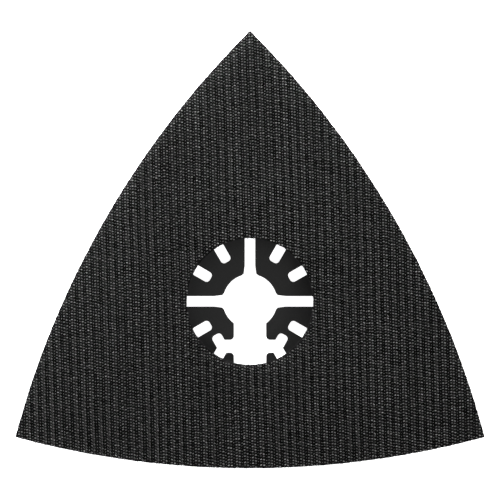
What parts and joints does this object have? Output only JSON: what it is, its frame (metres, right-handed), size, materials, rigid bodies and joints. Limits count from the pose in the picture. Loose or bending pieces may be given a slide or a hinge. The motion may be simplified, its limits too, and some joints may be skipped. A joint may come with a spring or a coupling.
{
  "type": "triangular hook-face sanding pad",
  "caption": "Triangular sanding pad for an oscillating tool: slotted steel arbor disc riveted to a ribbed plastic carrier, with a foam layer and a hook fabric face.",
  "frame": {"origin": "centre of the arbor hole, on the face of the steel disc that meets the tool", "axes": "+Z out of the hook face, away from the tool; +Y towards the apex, opposite the bolt slot; +X along the bottom edge, so the part lies on its tool side"},
  "size_m": [0.09, 0.084, 0.0119],
  "materials": {
    "arbor_steel": "satin",
    "rivet_steel": "satin",
    "carrier_plastic": "matte",
    "glue": "satin",
    "foam": "matte",
    "hook_fabric": "matte",
    "hooks": "satin"
  },
  "bodies": {
    "root": {"arbor_disc": "arbor_steel", "arbor_rivets": "rivet_steel", "carrier": "carrier_plastic", "carrier_glue": "glue", "foam_pad": "foam", "fabric_glue": "glue", "hook_fabric": "hook_fabric", "hook_pile": "hooks"}
  },
  "joints": []
}
